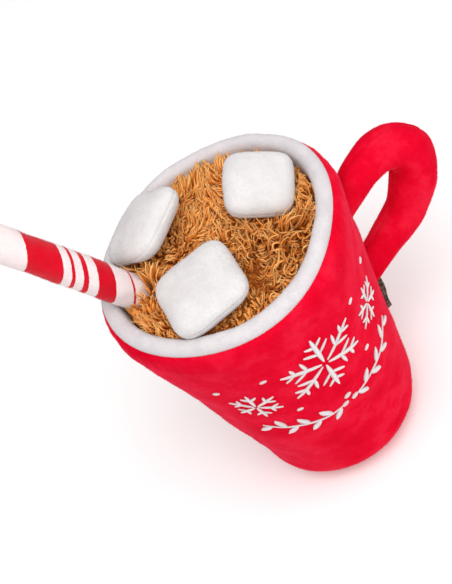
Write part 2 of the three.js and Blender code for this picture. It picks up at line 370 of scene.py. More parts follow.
def capped(rings):
    """Points and faces of a tube over rings of corners, each end closed by a fan."""
    rows, around = rings.shape[:2]
    points = np.concatenate([rings.reshape(-1, 3), rings[:1].mean(axis=1), rings[-1:].mean(axis=1)])
    faces = quads(rows, around)
    for ring, pole in ((0, rows * around), (rows - 1, rows * around + 1)):
        start = ring * around
        faces += [(start + i, start + (i + 1) % around, pole) for i in range(around)]
    return points, faces


def full_turn(around):
    """Angles of that many corners evenly round a piece."""
    return np.arange(around) * TURN / around


def unit(vectors):
    """Vectors made one long."""
    return vectors / np.linalg.norm(vectors, axis=-1, keepdims=True)


def runs_along(line):
    """Distance from the start of a line to each of its points."""
    return np.append(0, np.cumsum(np.linalg.norm(np.diff(line, axis=0), axis=1)))


def lumps(points, size, seed):
    """Smooth unevenness between about -1 and 1 at points in space, with swells of about that size."""
    draw = np.random.default_rng(seed)
    ways = unit(draw.normal(size=(LUMP_WAVES, 3)))
    ways *= TURN / size * draw.uniform(0.6, 1.2, (LUMP_WAVES, 1))
    phases = draw.uniform(0, TURN, LUMP_WAVES)
    return np.sin(points @ ways.T + phases).sum(axis=-1) / math.sqrt(LUMP_WAVES)


def swelling(name, points):
    """How far a piece's stuffing stands out at points of its cover."""
    return sum(height * lumps(points, breadth, seed) for height, breadth, seed in STUFFING[name])


def bell(distance, width):
    """1 at a line and nearly 0 a width away from it."""
    return np.exp(-((distance / width) ** 2))


def seam(name, distance):
    """How far a seam pulls its cover in at a distance from it."""
    depth, width = SEAMS[name]
    return depth * bell(distance, width)


def smooth_step(value, low, high):
    """0 below low, 1 above high, smooth between."""
    share = np.clip((value - low) / (high - low), 0, 1)
    return share * share * (3 - 2 * share)


def stuffed(points, faces):
    """Points of a sewn cover once it is stuffed: Cloth with pressure inside and no weight."""
    scene = bpy.context.scene
    cover = new_object("cover", points * STUFFING_SCALE, faces)
    cloth = cover.modifiers.new("Stuffing", "CLOTH")
    cloth.settings.effector_weights.gravity = 0.0
    cloth.settings.use_pressure = True
    cloth.settings.uniform_pressure_force = STUFFING_PRESSURE
    cloth.settings.quality = 6
    cloth.settings.bending_stiffness = 0.6
    cloth.collision_settings.use_collision = False
    cloth.point_cache.frame_start = 1
    cloth.point_cache.frame_end = STUFFING_FRAMES
    for number in range(1, STUFFING_FRAMES + 1):
        scene.frame_set(number)
    swollen = cover.evaluated_get(bpy.context.evaluated_depsgraph_get())
    moved = places(swollen.data) / STUFFING_SCALE - points
    mesh = cover.data
    bpy.data.objects.remove(cover)
    bpy.data.meshes.remove(mesh)
    scene.frame_set(1)
    distance = np.linalg.norm(moved, axis=1, keepdims=True)
    return points + moved * np.minimum(1.0, STUFFING_SWELL / np.maximum(distance, 1e-9))


def finished(piece, node=None):
    """Hands a piece to the frame: it rides on the toy and stands for its node."""
    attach(piece, "root")
    if node:
        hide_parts(node)
    return piece


def subdivided(piece):
    """Smooths a piece with one subdivision that is applied to its mesh."""
    modifier = piece.modifiers.new("Soft", "SUBSURF")
    modifier.levels = 1
    modifier.render_levels = 1
    return baked(piece)


def baked(piece):
    """Turns what a piece's modifiers make into its plain mesh."""
    graph = bpy.context.evaluated_depsgraph_get()
    made = bpy.data.meshes.new_from_object(piece.evaluated_get(graph), depsgraph=graph)
    piece.modifiers.clear()
    old = piece.data
    piece.data = made
    bpy.data.meshes.remove(old)
    made.name = piece.name
    return piece


# Shape of the mug


def flank_radius(height):
    """Radius of the flank at a height: a straight taper that rolls in to the seam under the rim."""
    size = sizes()
    taper = size.base_radius + (size.roll_radius - size.base_radius) * height / size.roll_height
    share = np.clip((height - size.roll_height) / (SEAM_HEIGHT - size.roll_height), 0, 1)
    rolled = size.roll_radius + (size.seam_radius - size.roll_radius) * share ** 4
    return np.where(height <= size.roll_height, taper, rolled)


def unevenness(turn, height):
    """Scale of the round at an angle and height: true at the base, uneven at the rim."""
    strength = np.clip(height / SEAM_HEIGHT, 0, 1) ** 2
    scale = 1.0
    for count, share, towards in LOBES:
        scale = scale + strength * share * np.cos(count * (turn - math.radians(towards)))
    return scale


def round_point(turn, radius, height):
    """A point at an angle, radius and height of the mug's own uneven round."""
    turn, radius, height = np.broadcast_arrays(turn, radius, height)
    reach = radius * unevenness(turn, height)
    return np.stack([reach * np.cos(turn), reach * np.sin(turn), height], axis=-1)


def turned(profile, around):
    """Angles round the mug, and rings of corners of a profile of radius and height turned round it."""
    turn = full_turn(around)
    return turn, round_point(turn[None, :], profile[:, :1], profile[:, 1:])


def flank_normal(turn, height):
    """Outward direction of the flank."""
    size = sizes()
    slope = (size.roll_radius - size.base_radius) / size.roll_height
    turn, height = np.broadcast_arrays(turn, height)
    return unit(np.stack([np.cos(turn), np.sin(turn), np.full(turn.shape, -slope)], axis=-1))


def on_front(drawing):
    """Points on the flank of a flat drawing made about the middle of the front: across, height."""
    turn = FRONT_ANGLE + drawing[..., 0] / FRONT_RADIUS
    height = drawing[..., 1]
    return round_point(turn, flank_radius(height), height)


def mug_profile():
    """Radius and height down the mug's outside, from the middle of its base to the dish under the pile."""
    size = sizes()
    base = [(radius, 0.0) for radius in np.linspace(POLE_RADIUS, size.base_flat, 10)]
    reach = float(flank_radius(np.array(size.corner_height))) - size.base_flat
    corner = [(size.base_flat + reach * math.sin(bend), size.corner_height * (1 - math.cos(bend)))
              for bend in np.linspace(0, math.pi / 2, 30)[1:]]
    flank = np.linspace(size.corner_height, size.roll_height, 90)[1:]
    roll = np.linspace(size.roll_height, SEAM_HEIGHT - 0.7 * MM, 16)[1:]
    side = [(float(flank_radius(z)), z) for z in (*flank, *roll)]
    edge = [(size.seam_radius - inwards * MM, SEAM_HEIGHT - down * MM) for inwards, down in COVER_EDGE]
    dish = [(radius, SEAM_HEIGHT - DISH_DEPTH) for radius in (0.5 * size.seam_radius, POLE_RADIUS)]
    return np.array(base + corner + side + edge + dish)


def from_straw(points):
    """Distance of points from the straw's axis."""
    lean = sizes().straw_lean
    axis = np.array([-math.sin(lean), 0.0, math.cos(lean)])
    offset = points - np.array(STRAW_FOOT)
    return np.linalg.norm(offset - (offset @ axis)[..., None] * axis, axis=-1)


# Trees of nodes


class Nodes:
    """Adds nodes to a tree, with each input given as a value or as another node's socket."""

    def __init__(self, tree):
        self.tree = tree

    def add(self, kind, inputs=None, **settings):
        """A node with its settings and inputs."""
        node = self.tree.nodes.new(kind)
        for name, value in settings.items():
            setattr(node, name, value)
        for name, value in (inputs or {}).items():
            self.feed(node.inputs[name], value)
        return node

    def feed(self, socket, value):
        """Links a socket to another, or sets its value."""
        if isinstance(value, bpy.types.NodeSocket):
            self.tree.links.new(value, socket)
        else:
            socket.default_value = value

    def math(self, operation, *values):
        """A sum on numbers."""
        return self.add("ShaderNodeMath", dict(enumerate(values)), operation=operation).outputs[0]

    def plus(self, first, second):
        """Two numbers added."""
        return self.math("ADD", first, second)

    def minus(self, first, second):
        """One number less another."""
        return self.math("SUBTRACT", first, second)

    def times(self, first, second):
        """Two numbers multiplied."""
        return self.math("MULTIPLY", first, second)

    def vector(self, operation, *values):
        """A sum on vectors."""
        node = self.add("ShaderNodeVectorMath", dict(enumerate(values)), operation=operation)
        return node.outputs[1 if operation == "LENGTH" else 0]

    def scaled(self, vector, factor):
        """A vector times a number."""
        return self.add("ShaderNodeVectorMath", {0: vector, "Scale": factor}, operation="SCALE").outputs[0]

    def moved(self, place, way, factor):
        """A place moved along a vector times a number."""
        return self.vector("ADD", place, self.scaled(way, factor))

    def blended(self, factor, first, second):
        """One colour mixed into another."""
        return self.add("ShaderNodeMix", {0: factor, 6: first, 7: second}, data_type="RGBA").outputs[2]

    def ranged(self, value, low, high, to_low=0.0, to_high=1.0):
        """A number mapped from one range to another and held there."""
        inputs = {0: value, 1: low, 2: high, 3: to_low, 4: to_high}
        return self.add("ShaderNodeMapRange", inputs).outputs[0]

    def noise(self, vector, scale, detail=2.0, roughness=0.5):
        """Soft noise over a surface."""
        inputs = {"Vector": vector, "Scale": scale, "Detail": detail, "Roughness": roughness}
        return self.add("ShaderNodeTexNoise", inputs).outputs["Fac"]

    def carried(self, name):
        """A number that a mesh carries, in a material."""
        return self.add("ShaderNodeAttribute", attribute_name=name).outputs["Fac"]

    def named(self, name, kind="FLOAT"):
        """A named attribute as a field."""
        node = self.add("GeometryNodeInputNamedAttribute", {"Name": name}, data_type=kind)
        return node.outputs["Attribute"]

    def stored(self, geometry, name, value):
        """Geometry with a field kept on its points under a name."""
        kind = VECTOR if value.type == "VECTOR" else "FLOAT"
        node = self.add("GeometryNodeStoreNamedAttribute", {"Geometry": geometry, "Name": name},
                        data_type=kind, domain="POINT")
        self.feed(node.inputs["Value"], value)
        return node.outputs["Geometry"]

    def drawn(self, low, high, seed):
        """A random number on each point."""
        inputs = {2: low, 3: high, "Seed": seed}
        return self.add("FunctionNodeRandomValue", inputs, data_type="FLOAT").outputs[1]

    def drawn_vector(self, seed):
        """A random vector on each point, up to one each way."""
        inputs = {0: (-1.0,) * 3, 1: (1.0,) * 3, "Seed": seed}
        return self.add("FunctionNodeRandomValue", inputs, data_type=VECTOR).outputs[0]

    def scattered(self, mesh, apart, density, seed):
        """Points and normals over a mesh, no closer than that, where the mesh says that it is covered."""
        inputs = {"Mesh": mesh, "Distance Min": apart, "Density Max": density,
                  "Density Factor": self.named("cover"), "Seed": seed}
        node = self.add("GeometryNodeDistributePointsOnFaces", inputs, distribute_method="POISSON")
        return node.outputs["Points"], node.outputs["Normal"]

    def laid(self, points, instance, rotation, *scale):
        """A shape laid on points, turned and scaled along its axes."""
        size = self.add("ShaderNodeCombineXYZ", dict(enumerate(scale))).outputs[0]
        inputs = {"Points": points, "Instance": instance, "Rotation": rotation, "Scale": size}
        return self.add("GeometryNodeInstanceOnPoints", inputs).outputs[0]

    def close(self, out, geometry, material):
        """Ends a tree: smooth, instances realized, material set."""
        smooth = self.add("GeometryNodeSetShadeSmooth", {"Geometry": geometry})
        real = self.add("GeometryNodeRealizeInstances", {"Geometry": smooth.outputs[0]})
        inputs = {"Geometry": real.outputs[0], "Material": material}
        self.feed(out["Geometry"], self.add("GeometryNodeSetMaterial", inputs).outputs[0])
        return self.tree


def new_group(name, tree_kind, inputs, outputs):
    """An empty node group with sockets named with their kinds: its nodes, its inputs and its outputs."""
    tree = bpy.data.node_groups.new(name, tree_kind)
    for way, sockets in (("INPUT", inputs), ("OUTPUT", outputs)):
        for title, kind in sockets.items():
            tree.interface.new_socket(name=title, in_out=way, socket_type="NodeSocket" + kind)
    nodes = Nodes(tree)
    return nodes, nodes.add("NodeGroupInput").outputs, nodes.add("NodeGroupOutput").inputs


def growing_tree(name, inputs):
    """An empty Geometry Nodes tree that grows things on a base, with named inputs, a seed and a material."""
    sockets = {"Geometry": "Geometry", **inputs, "Seed": "Int", "Material": "Material"}
    return new_group(name, "GeometryNodeTree", sockets, {"Geometry": "Geometry"})


def opaque(rgb):
    """A colour with full alpha, as colour sockets take it."""
    return (*rgb, 1.0)


def darker(rgb, share):
    """A colour with only a share of its light."""
    return [share * part for part in rgb]


# Fabrics


def brushed_nap_group():
    """Shader group of a short brushed nap: patches that lie different ways and single fibres, with painted
    shade and painted sheen in their colour.
    """
    found = bpy.data.node_groups.get("brushed_nap")
    if found:
        return found
    nodes, given, out = new_group(
        "brushed_nap",
        "ShaderNodeTree",
        {"Vector": "Vector", "Main": "Color", "Deep": "Color", "Pale": "Color",
         "Patches": "Float", "Fibres": "Float"},
        {"Colour": "Color", "Height": "Float"},
    )
    vector = given["Vector"]
    warp = nodes.add("ShaderNodeTexNoise", {"Vector": vector, "Scale": given["Patches"], "Detail": 2.0})
    bent = nodes.moved(vector, warp.outputs["Color"], 6 * MM)
    patches = nodes.noise(bent, given["Patches"], 6.0, 0.62)
    fibres = nodes.noise(vector, given["Fibres"], 2.0, 0.6)
    # Deep patches are painted shade and pale patches painted sheen of nap lying different ways; the fibre
    # flecks are painted specks of shade.
    main = nodes.ranged(patches, 0.30, 0.56)
    pale = nodes.ranged(patches, 0.50, 0.78, 0.0, 0.75)
    shade_specks = nodes.ranged(fibres, 0.30, 0.52, 0.45, 0.0)
    shade = nodes.blended(main, given["Deep"], given["Main"])
    shade = nodes.blended(pale, shade, given["Pale"])
    shade = nodes.blended(shade_specks, shade, given["Deep"])
    nodes.feed(out["Colour"], shade)
    nodes.feed(out["Height"], nodes.plus(fibres, nodes.times(patches, 0.6)))
    return nodes.tree


def brushed(nodes, vector, shades, patches, fibres):
    """A brushed nap of main, deep and pale shades, with patches and fibres of that fineness."""
    inputs = {"Vector": vector, "Patches": patches, "Fibres": fibres}
    inputs.update(zip(("Main", "Deep", "Pale"), map(opaque, shades)))
    return nodes.add("ShaderNodeGroup", inputs, node_tree=brushed_nap_group()).outputs


def new_material(name):
    """An empty material: its nodes, its Principled shader and the Object coordinates."""
    material = bpy.data.materials.new(name)
    material.use_nodes = True
    nodes = Nodes(material.node_tree)
    shader = material.node_tree.nodes["Principled BSDF"]
    return material, nodes, shader, nodes.add("ShaderNodeTexCoord").outputs["Object"]


def dressed(nodes, shader, shade, height, bump, cloth, tint=(1.0, 1.0, 1.0), gloss=0.0):
    """Feeds a fabric's colour and relief to its shader and sets its even values: bump is the relief's
    strength and depth, cloth the roughness, the sheen and the sheen's own roughness."""
    raised = nodes.add("ShaderNodeBump", {"Height": height, "Strength": bump[0], "Distance": bump[1]})
    roughness, sheen, spread = cloth
    for name, value in (
        ("Base Color", shade),
        ("Normal", raised.outputs["Normal"]),
        ("Roughness", roughness),
        ("Specular IOR Level", gloss),
        ("Sheen Weight", sheen),
        ("Sheen Roughness", spread),
        ("Sheen Tint", opaque(tint)),
    ):
        nodes.feed(shader.inputs[name], value)


def napped_fabric(name, shades, patches, fibres, bump, cloth, tint):
    """A fabric with a short brushed nap."""
    found = bpy.data.materials.get(name)
    if found:
        return found
    material, nodes, shader, vector = new_material(name)
    nap = brushed(nodes, vector, shades, patches, fibres)
    dressed(nodes, shader, nap["Colour"], nap["Height"], (bump, 0.5 * MM), cloth, tint)
    return material


def velour():
    """Red velour of the mug and its handle."""
    tone = colours()
    # Besides the red itself, the deep red patches are painted shade and the pale red patches painted sheen.
    shades = (tone.red, tone.red_deep, tone.red_sheen)
    return napped_fabric("velour_cloth", shades, 70.0, 1300.0, 0.35, (0.9, 0.55, 0.28), (1.0, 0.12, 0.22))


def fleece():
    """White fleece of the marshmallows."""
    tone = colours()
    # Besides the white itself, the deep white patches are painted shade and the pale white patches painted
    # sheen.
    shades = (tone.white, tone.white_deep, tone.white_sheen)
    return napped_fabric("fleece_cloth", shades, 120.0, 1500.0, 0.3, (0.9, 0.25, 0.45), (1.0, 0.98, 0.98))


def rim_fleece():
    """Greyer fleece of the rim."""
    tone = colours()
    # Besides the rim's own grey, the darker patches are painted shade and the white patches painted sheen.
    shades = (tone.rim, darker(tone.rim, 0.92), tone.white)
    return napped_fabric("rim_cloth", shades, 120.0, 1500.0, 0.45, (0.9, 0.25, 0.45), (1.0, 0.97, 0.98))


def striped_plush():
    """White plush of the straw, printed with slanted red stripes of several widths."""
    tone = colours()
    material, nodes, shader, vector = new_material("printed_cloth")
    back = (Matrix.Rotation(-STRAW_FACE_ANGLE, 4, "Z") @ Matrix.Rotation(sizes().straw_lean, 4, "Y")
            @ Matrix.Translation(-STRAW_FOOT))
    inputs = {"Vector": vector, "Location": back.to_translation(), "Rotation": back.to_euler()}
    placed = nodes.add("ShaderNodeMapping", inputs, vector_type="POINT")
    parts = nodes.add("ShaderNodeSeparateXYZ", {0: placed.outputs[0]}).outputs
    along = nodes.minus(nodes.minus(parts["Z"], STRAW_ENTRY), nodes.times(parts["Y"], STRIPE_SLANT))
    ragged = nodes.minus(nodes.noise(vector, 1600.0, 1.0), 0.5)
    along = nodes.plus(along, nodes.times(ragged, 0.7 * MM))
    printed = 0.0
    for middle, width in STRIPES:
        band = nodes.math("COMPARE", along, middle * MM, width / 2 * MM)
        printed = nodes.math("MAXIMUM", band, printed)
    # The plain plush's darker patches are painted shade; the print's main red is its own, and its paler red
    # patches are painted sheen.
    plain = brushed(nodes, vector, (tone.plush, darker(tone.plush, 0.92), tone.plush), 160.0, 1800.0)
    red = brushed(nodes, vector, (tone.red_deep, tone.red_deep, tone.red), 160.0, 1800.0)
    shade = nodes.blended(printed, plain["Colour"], red["Colour"])
    dressed(nodes, shader, shade, plain["Height"], (0.35, 0.4 * MM), (0.85, 0.2, 0.45), (1.0, 0.95, 0.95))
    return material


def cocoa_fabric():
    """Brown pile: dark at the roots, partly its own colour and partly painted shade of the gaps between
    strands, golden at the tips, partly its own colour and partly a painted highlight, each strand a shade of
    its own.
    """
    tone = colours()
    root, main, tip = map(opaque, (tone.cocoa_root, tone.cocoa, tone.cocoa_tip))
    material, nodes, shader, vector = new_material("curly_pile")
    along, shade, loose = (nodes.carried(name) for name in ("along", "shade", "loose"))
    streaks = nodes.noise(vector, 2600.0, 2.0)
    # The root colour is partly painted shade of the gaps between strands, the tip colour partly a painted
    # highlight.
    strand = nodes.blended(nodes.ranged(along, 0.15, 0.6), root, main)
    for share, towards in (
        (nodes.ranged(along, 0.45, 0.95), tip),
        (nodes.ranged(shade, 0.0, 0.45, 0.35, 0.0), root),
        (nodes.ranged(shade, 0.7, 1.0, 0.0, 0.55), tip),
        # Loose, tousled pile is darkened towards the root colour: painted shade of its deeper gaps.
        (nodes.ranged(loose, 0.42, 0.9, 0.0, 0.2), root),
        (nodes.ranged(streaks, 0.3, 0.6, 0.2, 0.0), root),
    ):
        strand = nodes.blended(share, strand, towards)
    dressed(nodes, shader, strand, streaks, (0.3, 0.2 * MM), (0.5, 0.06, 0.4), (1.0, 0.6, 0.3), 0.15)
    return material


def backing_fabric():
    """Knitted backing that the pile grows from, dark in the root colour, which is partly painted shade of the
    gaps between strands.
    """
    tone = colours()
    material, nodes, shader, vector = new_material("pile_backing")
    speckle = nodes.noise(vector, 900.0, 3.0)
    share = nodes.ranged(speckle, 0.35, 0.7, 0.0, 0.6)
    shade = nodes.blended(share, opaque(tone.cocoa_root), opaque(tone.cocoa))
    dressed(nodes, shader, shade, speckle, (0.8, 0.6 * MM), (0.95, 0.0, 0.5))
    return material


def ribbon_fabric():
    """Dark woven ribbon with a few pale weft threads."""
    tone = colours()
    material, nodes, shader, vector = new_material("woven_ribbon")
    parts = nodes.add("ShaderNodeSeparateXYZ", {0: vector}).outputs
    weft = nodes.math("SINE", nodes.times(parts["Z"], TURN / (0.55 * MM)))
    warp = nodes.math("SINE", nodes.times(parts["X"], TURN / (0.5 * MM)))
    weave = nodes.times(weft, warp)
    mottle = nodes.noise(vector, 700.0, 3.0, 0.6)
    pale = nodes.times(nodes.ranged(mottle, 0.48, 0.62), nodes.ranged(weave, -0.2, 0.7, 0.25, 0.8))
    shade = nodes.blended(pale, opaque(tone.ribbon), opaque(tone.ribbon_pale))
    dressed(nodes, shader, shade, weave, (0.5, 0.15 * MM), (0.6, 0.1, 0.4))
    return material


def thread_fabric():
    """Glossy white embroidery thread, twisted."""
    tone = colours()
    material, nodes, shader, vector = new_material("white_thread")
    twist = nodes.noise(vector, 2200.0, 2.0)
    share = nodes.ranged(twist, 0.3, 0.6, 0.3, 0.0)
    shade = nodes.blended(share, opaque(tone.thread), opaque(tone.white_deep))
    dressed(nodes, shader, shade, twist, (0.25, 0.1 * MM), (0.45, 0.1, 0.3), gloss=0.4)
    return material


# Repeated things made by Geometry Nodes


def grown(name, base, tree, inputs, seed, material):
    """A plain mesh piece of what a Geometry Nodes tree makes on a base object."""
    piece = bpy.data.objects.new(name, base.data.copy())
    bpy.context.scene.collection.objects.link(piece)
    modifier = piece.modifiers.new("Grown", "NODES")
    modifier.node_group = tree
    given = {item.name: item.identifier for item in tree.interface.items_tree if item.in_out == "INPUT"}
    for title, value in {**inputs, "Seed": seed, "Material": material}.items():
        modifier[given[title]] = value
    baked(piece)
    if not piece.data.polygons:
        raise RuntimeError(f"{name} came out empty")
    return piece


def strand_tree():
    """Curly tapered strands on a backing that carries where they grow, how long, loose and combed."""
    nodes, given, out = growing_tree("pile_strands", {
        "Spacing": "Float", "Length": "Float", "Width": "Float",
        "Curl": "Float", "Lock": "Float", "Points": "Int",
    })
    seeds = [nodes.plus(given["Seed"], SEED_STEP * number) for number in range(1, 8)]
    points, normal = nodes.scattered(given["Geometry"], given["Spacing"], 6.0e6, given["Seed"])
    centres, _ = nodes.scattered(given["Geometry"], given["Lock"], 1.0e6, seeds[6])
    spot = nodes.add("GeometryNodeInputPosition").outputs[0]
    inputs = {"Geometry": centres, "Sample Position": spot}
    nearest = nodes.add("GeometryNodeSampleNearest", inputs, domain="POINT").outputs[0]
    inputs = {"Geometry": centres, "Value": spot, "Index": nearest}
    middle = nodes.add("GeometryNodeSampleIndex", inputs, data_type=VECTOR, domain="POINT").outputs[0]
    inputs = {"Vector": middle, "Scale": nodes.math("DIVIDE", 1.3, given["Lock"]), "Detail": 1.0}
    locks = nodes.add("ShaderNodeTexNoise", inputs).outputs

    shared = nodes.scaled(nodes.vector("SUBTRACT", locks["Color"], (0.5, 0.5, 0.5)), 4.4)
    stray = nodes.moved(shared, nodes.drawn_vector(seeds[0]), 0.4)
    loose = nodes.named("loose")
    lean = nodes.moved(nodes.named("comb", VECTOR), stray, loose)
    too_long = nodes.math("MAXIMUM", nodes.vector("LENGTH", lean), 1.0)
    lean = nodes.scaled(lean, nodes.math("DIVIDE", 1.0, too_long))
    share = nodes.times(nodes.named("growth"), nodes.drawn(0.72, 1.18, seeds[1]))
    for name, value in (
        ("root", spot),
        ("upward", normal),
        ("gather", nodes.vector("SUBTRACT", middle, spot)),
        ("lean", lean),
        ("lift", nodes.minus(STRAND_LIFT, nodes.times(nodes.vector("LENGTH", lean), STRAND_LOWERING))),
        ("reach", nodes.times(share, given["Length"])),
        ("shade", nodes.drawn(0.0, 1.0, seeds[2])),
        ("phase", nodes.plus(nodes.times(locks["Fac"], 14.0), nodes.drawn(0.0, 1.2, seeds[3]))),
        ("winding", nodes.drawn(4.5, 7.5, seeds[4])),
        ("stout", nodes.drawn(0.7, 1.2, seeds[5])),
        ("wave", nodes.times(given["Curl"], nodes.plus(0.4, loose))),
    ):
        points = nodes.stored(points, name, value)

    line = nodes.add("GeometryNodeCurvePrimitiveLine", {"Start": (0, 0, 0), "End": (0, 0, MM)})
    line = nodes.add("GeometryNodeResampleCurve", {"Curve": line.outputs[0], "Count": given["Points"]})
    lines = nodes.add("GeometryNodeInstanceOnPoints", {"Points": points, "Instance": line.outputs[0]})
    lines = nodes.add("GeometryNodeRealizeInstances", {"Geometry": lines.outputs[0]}).outputs[0]
    along = nodes.add("GeometryNodeSplineParameter").outputs["Factor"]
    square = nodes.times(along, along)
    reach = nodes.named("reach")
    upward, leaning, gather = (nodes.named(name, VECTOR) for name in ("upward", "lean", "gather"))
    climb = nodes.times(along, nodes.plus(nodes.named("lift"), STRAND_DROOP))
    rise = nodes.minus(climb, nodes.times(square, STRAND_DROOP))
    sweep = nodes.plus(nodes.times(along, 0.6), nodes.times(square, 0.4))
    sideways = nodes.vector("NORMALIZE", nodes.vector("CROSS_PRODUCT", upward, leaning))
    turn = nodes.plus(nodes.times(along, nodes.named("winding")), nodes.named("phase"))
    curl = nodes.times(along, nodes.named("wave"))
    place = nodes.named("root", VECTOR)
    for way, factor in (
        (upward, nodes.times(reach, rise)),
        (leaning, nodes.times(reach, sweep)),
        (gather, nodes.times(nodes.math("POWER", along, 1.2), STRAND_GATHER)),
        (sideways, nodes.times(curl, nodes.math("COSINE", turn))),
        (upward, nodes.times(curl, nodes.math("SINE", turn))),
    ):
        place = nodes.moved(place, way, factor)
    lines = nodes.add("GeometryNodeSetPosition", {"Geometry": lines, "Position": place}).outputs[0]
    lines = nodes.stored(lines, "along", along)
    taper = nodes.minus(1.04, nodes.math("POWER", along, 2.2))
    girth = nodes.times(nodes.times(given["Width"], 0.5), nodes.named("stout"))
    section = nodes.add("GeometryNodeCurvePrimitiveCircle", {"Resolution": 3, "Radius": 1.0})
    inputs = {"Curve": lines, "Profile Curve": section.outputs[0], "Scale": nodes.times(girth, taper),
              "Fill Caps": True}
    return nodes.close(out, nodes.add("GeometryNodeCurveToMesh", inputs).outputs[0], given["Material"])


def nap_tree():
    """Short straight fibres that stand on a fabric where it is napped, brushed one way and a little loose."""
    nodes, given, out = growing_tree("nap_fibres", {
        "Density": "Float", "Length": "Float", "Width": "Float", "Brushing": "Vector", "Loose": "Float",
    })
    inputs = {"Mesh": given["Geometry"], "Seed": given["Seed"],
              "Density": nodes.times(given["Density"], nodes.named("napped"))}
    roots = nodes.add("GeometryNodeDistributePointsOnFaces", inputs, distribute_method="RANDOM").outputs
    lean = nodes.vector("ADD", roots["Normal"], given["Brushing"])
    lean = nodes.moved(lean, nodes.drawn_vector(nodes.plus(given["Seed"], 5.0)), given["Loose"])
    standing = nodes.add("FunctionNodeAlignRotationToVector", {"Vector": lean}, axis="Z").outputs[0]
    inputs = {"Vertices": 3, "Side Segments": 1, "Fill Segments": 1, "Radius Top": 0.0,
              "Radius Bottom": nodes.times(given["Width"], 0.5), "Depth": given["Length"]}
    fibre = nodes.add("GeometryNodeMeshCone", inputs).outputs["Mesh"]
    longer = nodes.drawn(0.6, 1.3, nodes.plus(given["Seed"], 9.0))
    fibres = nodes.laid(roots["Points"], fibre, standing, 1.0, 1.0, longer)
    return nodes.close(out, fibres, given["Material"])


def stitch_tree():
    """Satin stitches laid side by side across drawn strokes that carry their width and outward direction."""
    nodes, given, out = growing_tree("satin_stitches", {
        "Spacing": "Float", "Thread": "Float", "Slant": "Float",
    })
    strokes = nodes.add("GeometryNodeMeshToCurve", {"Mesh": given["Geometry"]}).outputs[0]
    inputs = {"Curve": strokes, "Length": given["Spacing"]}
    spots = nodes.add("GeometryNodeCurveToPoints", inputs, mode="LENGTH").outputs
    outward = nodes.named("outward", VECTOR)
    across = nodes.vector("CROSS_PRODUCT", outward, spots["Tangent"])
    across = nodes.moved(across, spots["Tangent"], given["Slant"])
    inputs = {"Primary Axis": outward, "Secondary Axis": across}
    facing = nodes.add("FunctionNodeAxesToRotation", inputs, primary_axis="Z", secondary_axis="X").outputs[0]
    stitch = nodes.add("GeometryNodeMeshUVSphere", {"Segments": 6, "Rings": 5, "Radius": 1.0})
    half = nodes.times(nodes.named("half_width"), nodes.drawn(0.92, 1.10, given["Seed"]))
    thick = nodes.times(given["Thread"], 0.5)
    swell = nodes.plus(nodes.times(given["Thread"], 0.55), nodes.times(half, 0.22))
    stitches = nodes.laid(spots["Points"], stitch.outputs["Mesh"], facing, half, thick, swell)
    return nodes.close(out, stitches, given["Material"])


# Pillows


def pillow_frame(node, lean, turn):
    """Centre and rotation of a marshmallow."""
    low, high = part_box(node)
    tilt = (Matrix.Rotation(math.radians(lean[1]), 3, "Y") @ Matrix.Rotation(math.radians(lean[0]), 3, "X")
            @ Matrix.Rotation(math.radians(turn), 3, "Z"))
    return np.array((low + high) / 2), np.array(tilt)


def square_reach(turn):
    """How far a rounded square of side 2 reaches at an angle."""
    powers = np.abs(np.cos(turn)) ** PILLOW_SQUARENESS + np.abs(np.sin(turn)) ** PILLOW_SQUARENESS
    return powers ** (-1 / PILLOW_SQUARENESS)


def pillow(side, thickness, count):
    """Points and faces of a puffed square: a ball of even squares pushed out to a rounded square."""
    work = bmesh.new()
    bmesh.ops.create_cube(work, size=2.0)
    bmesh.ops.subdivide_edges(work, edges=work.edges[:], cuts=count - 1, use_grid_fill=True)
    points = np.array([corner.co for corner in work.verts])
    faces = [[corner.index for corner in face.verts] for face in work.faces]
    work.free()
    points = unit(np.tan(points * math.pi / 4))
    flat = np.hypot(points[:, 0], points[:, 1])
    turn = np.arctan2(points[:, 1], points[:, 0])
    reach = side / 2 * square_reach(turn) * flat ** PILLOW_PUFF
    return np.stack([reach * np.cos(turn), reach * np.sin(turn), points[:, 2] * thickness / 2], axis=1), faces


# The ornament's flat drawing


def direction(way):
    """A step of one in a direction of the drawing."""
    return np.array([math.cos(way), math.sin(way)])


def stroke(points, widest, blunt=0.35):
    """A drawn line with the half width of its stitches, tapering to its ends."""
    share = np.linspace(0, 1, len(points))
    swell = blunt + (1 - blunt) * np.sin(share * math.pi) ** 0.7
    return points, widest / 2 * swell


def straight(start, end, widest, blunt=0.35):
    """A straight stroke."""
    share = np.linspace(0, 1, STROKE_POINTS)[:, None]
    return stroke(start * (1 - share) + end * share, widest, blunt)


def snowflake(middle, reach, widest, twigs):
    """Six arms with pairs of twigs, each given by its place and its length as shares of the arm."""
    strokes = []
    for number in range(6):
        way = math.pi / 2 + number * math.pi / 3
        arm = direction(way) * reach
        strokes.append(straight(middle + 0.10 * arm, middle + arm, widest))
        for place, twig in twigs:
            root = middle + place * arm
            for side in (-1, 1):
                branch = direction(way + side * math.pi / 3.4) * twig * reach
                strokes.append(straight(root, root + branch, 0.75 * widest))
    return strokes


def berry(middle, width):
    """A small round of satin stitch."""
    reach = np.array([0.5 * width, 0.0])
    line, _ = straight(middle - reach, middle + reach, width)
    return line, width / 2 * np.sqrt(1 - np.linspace(-0.95, 0.95, len(line)) ** 2)


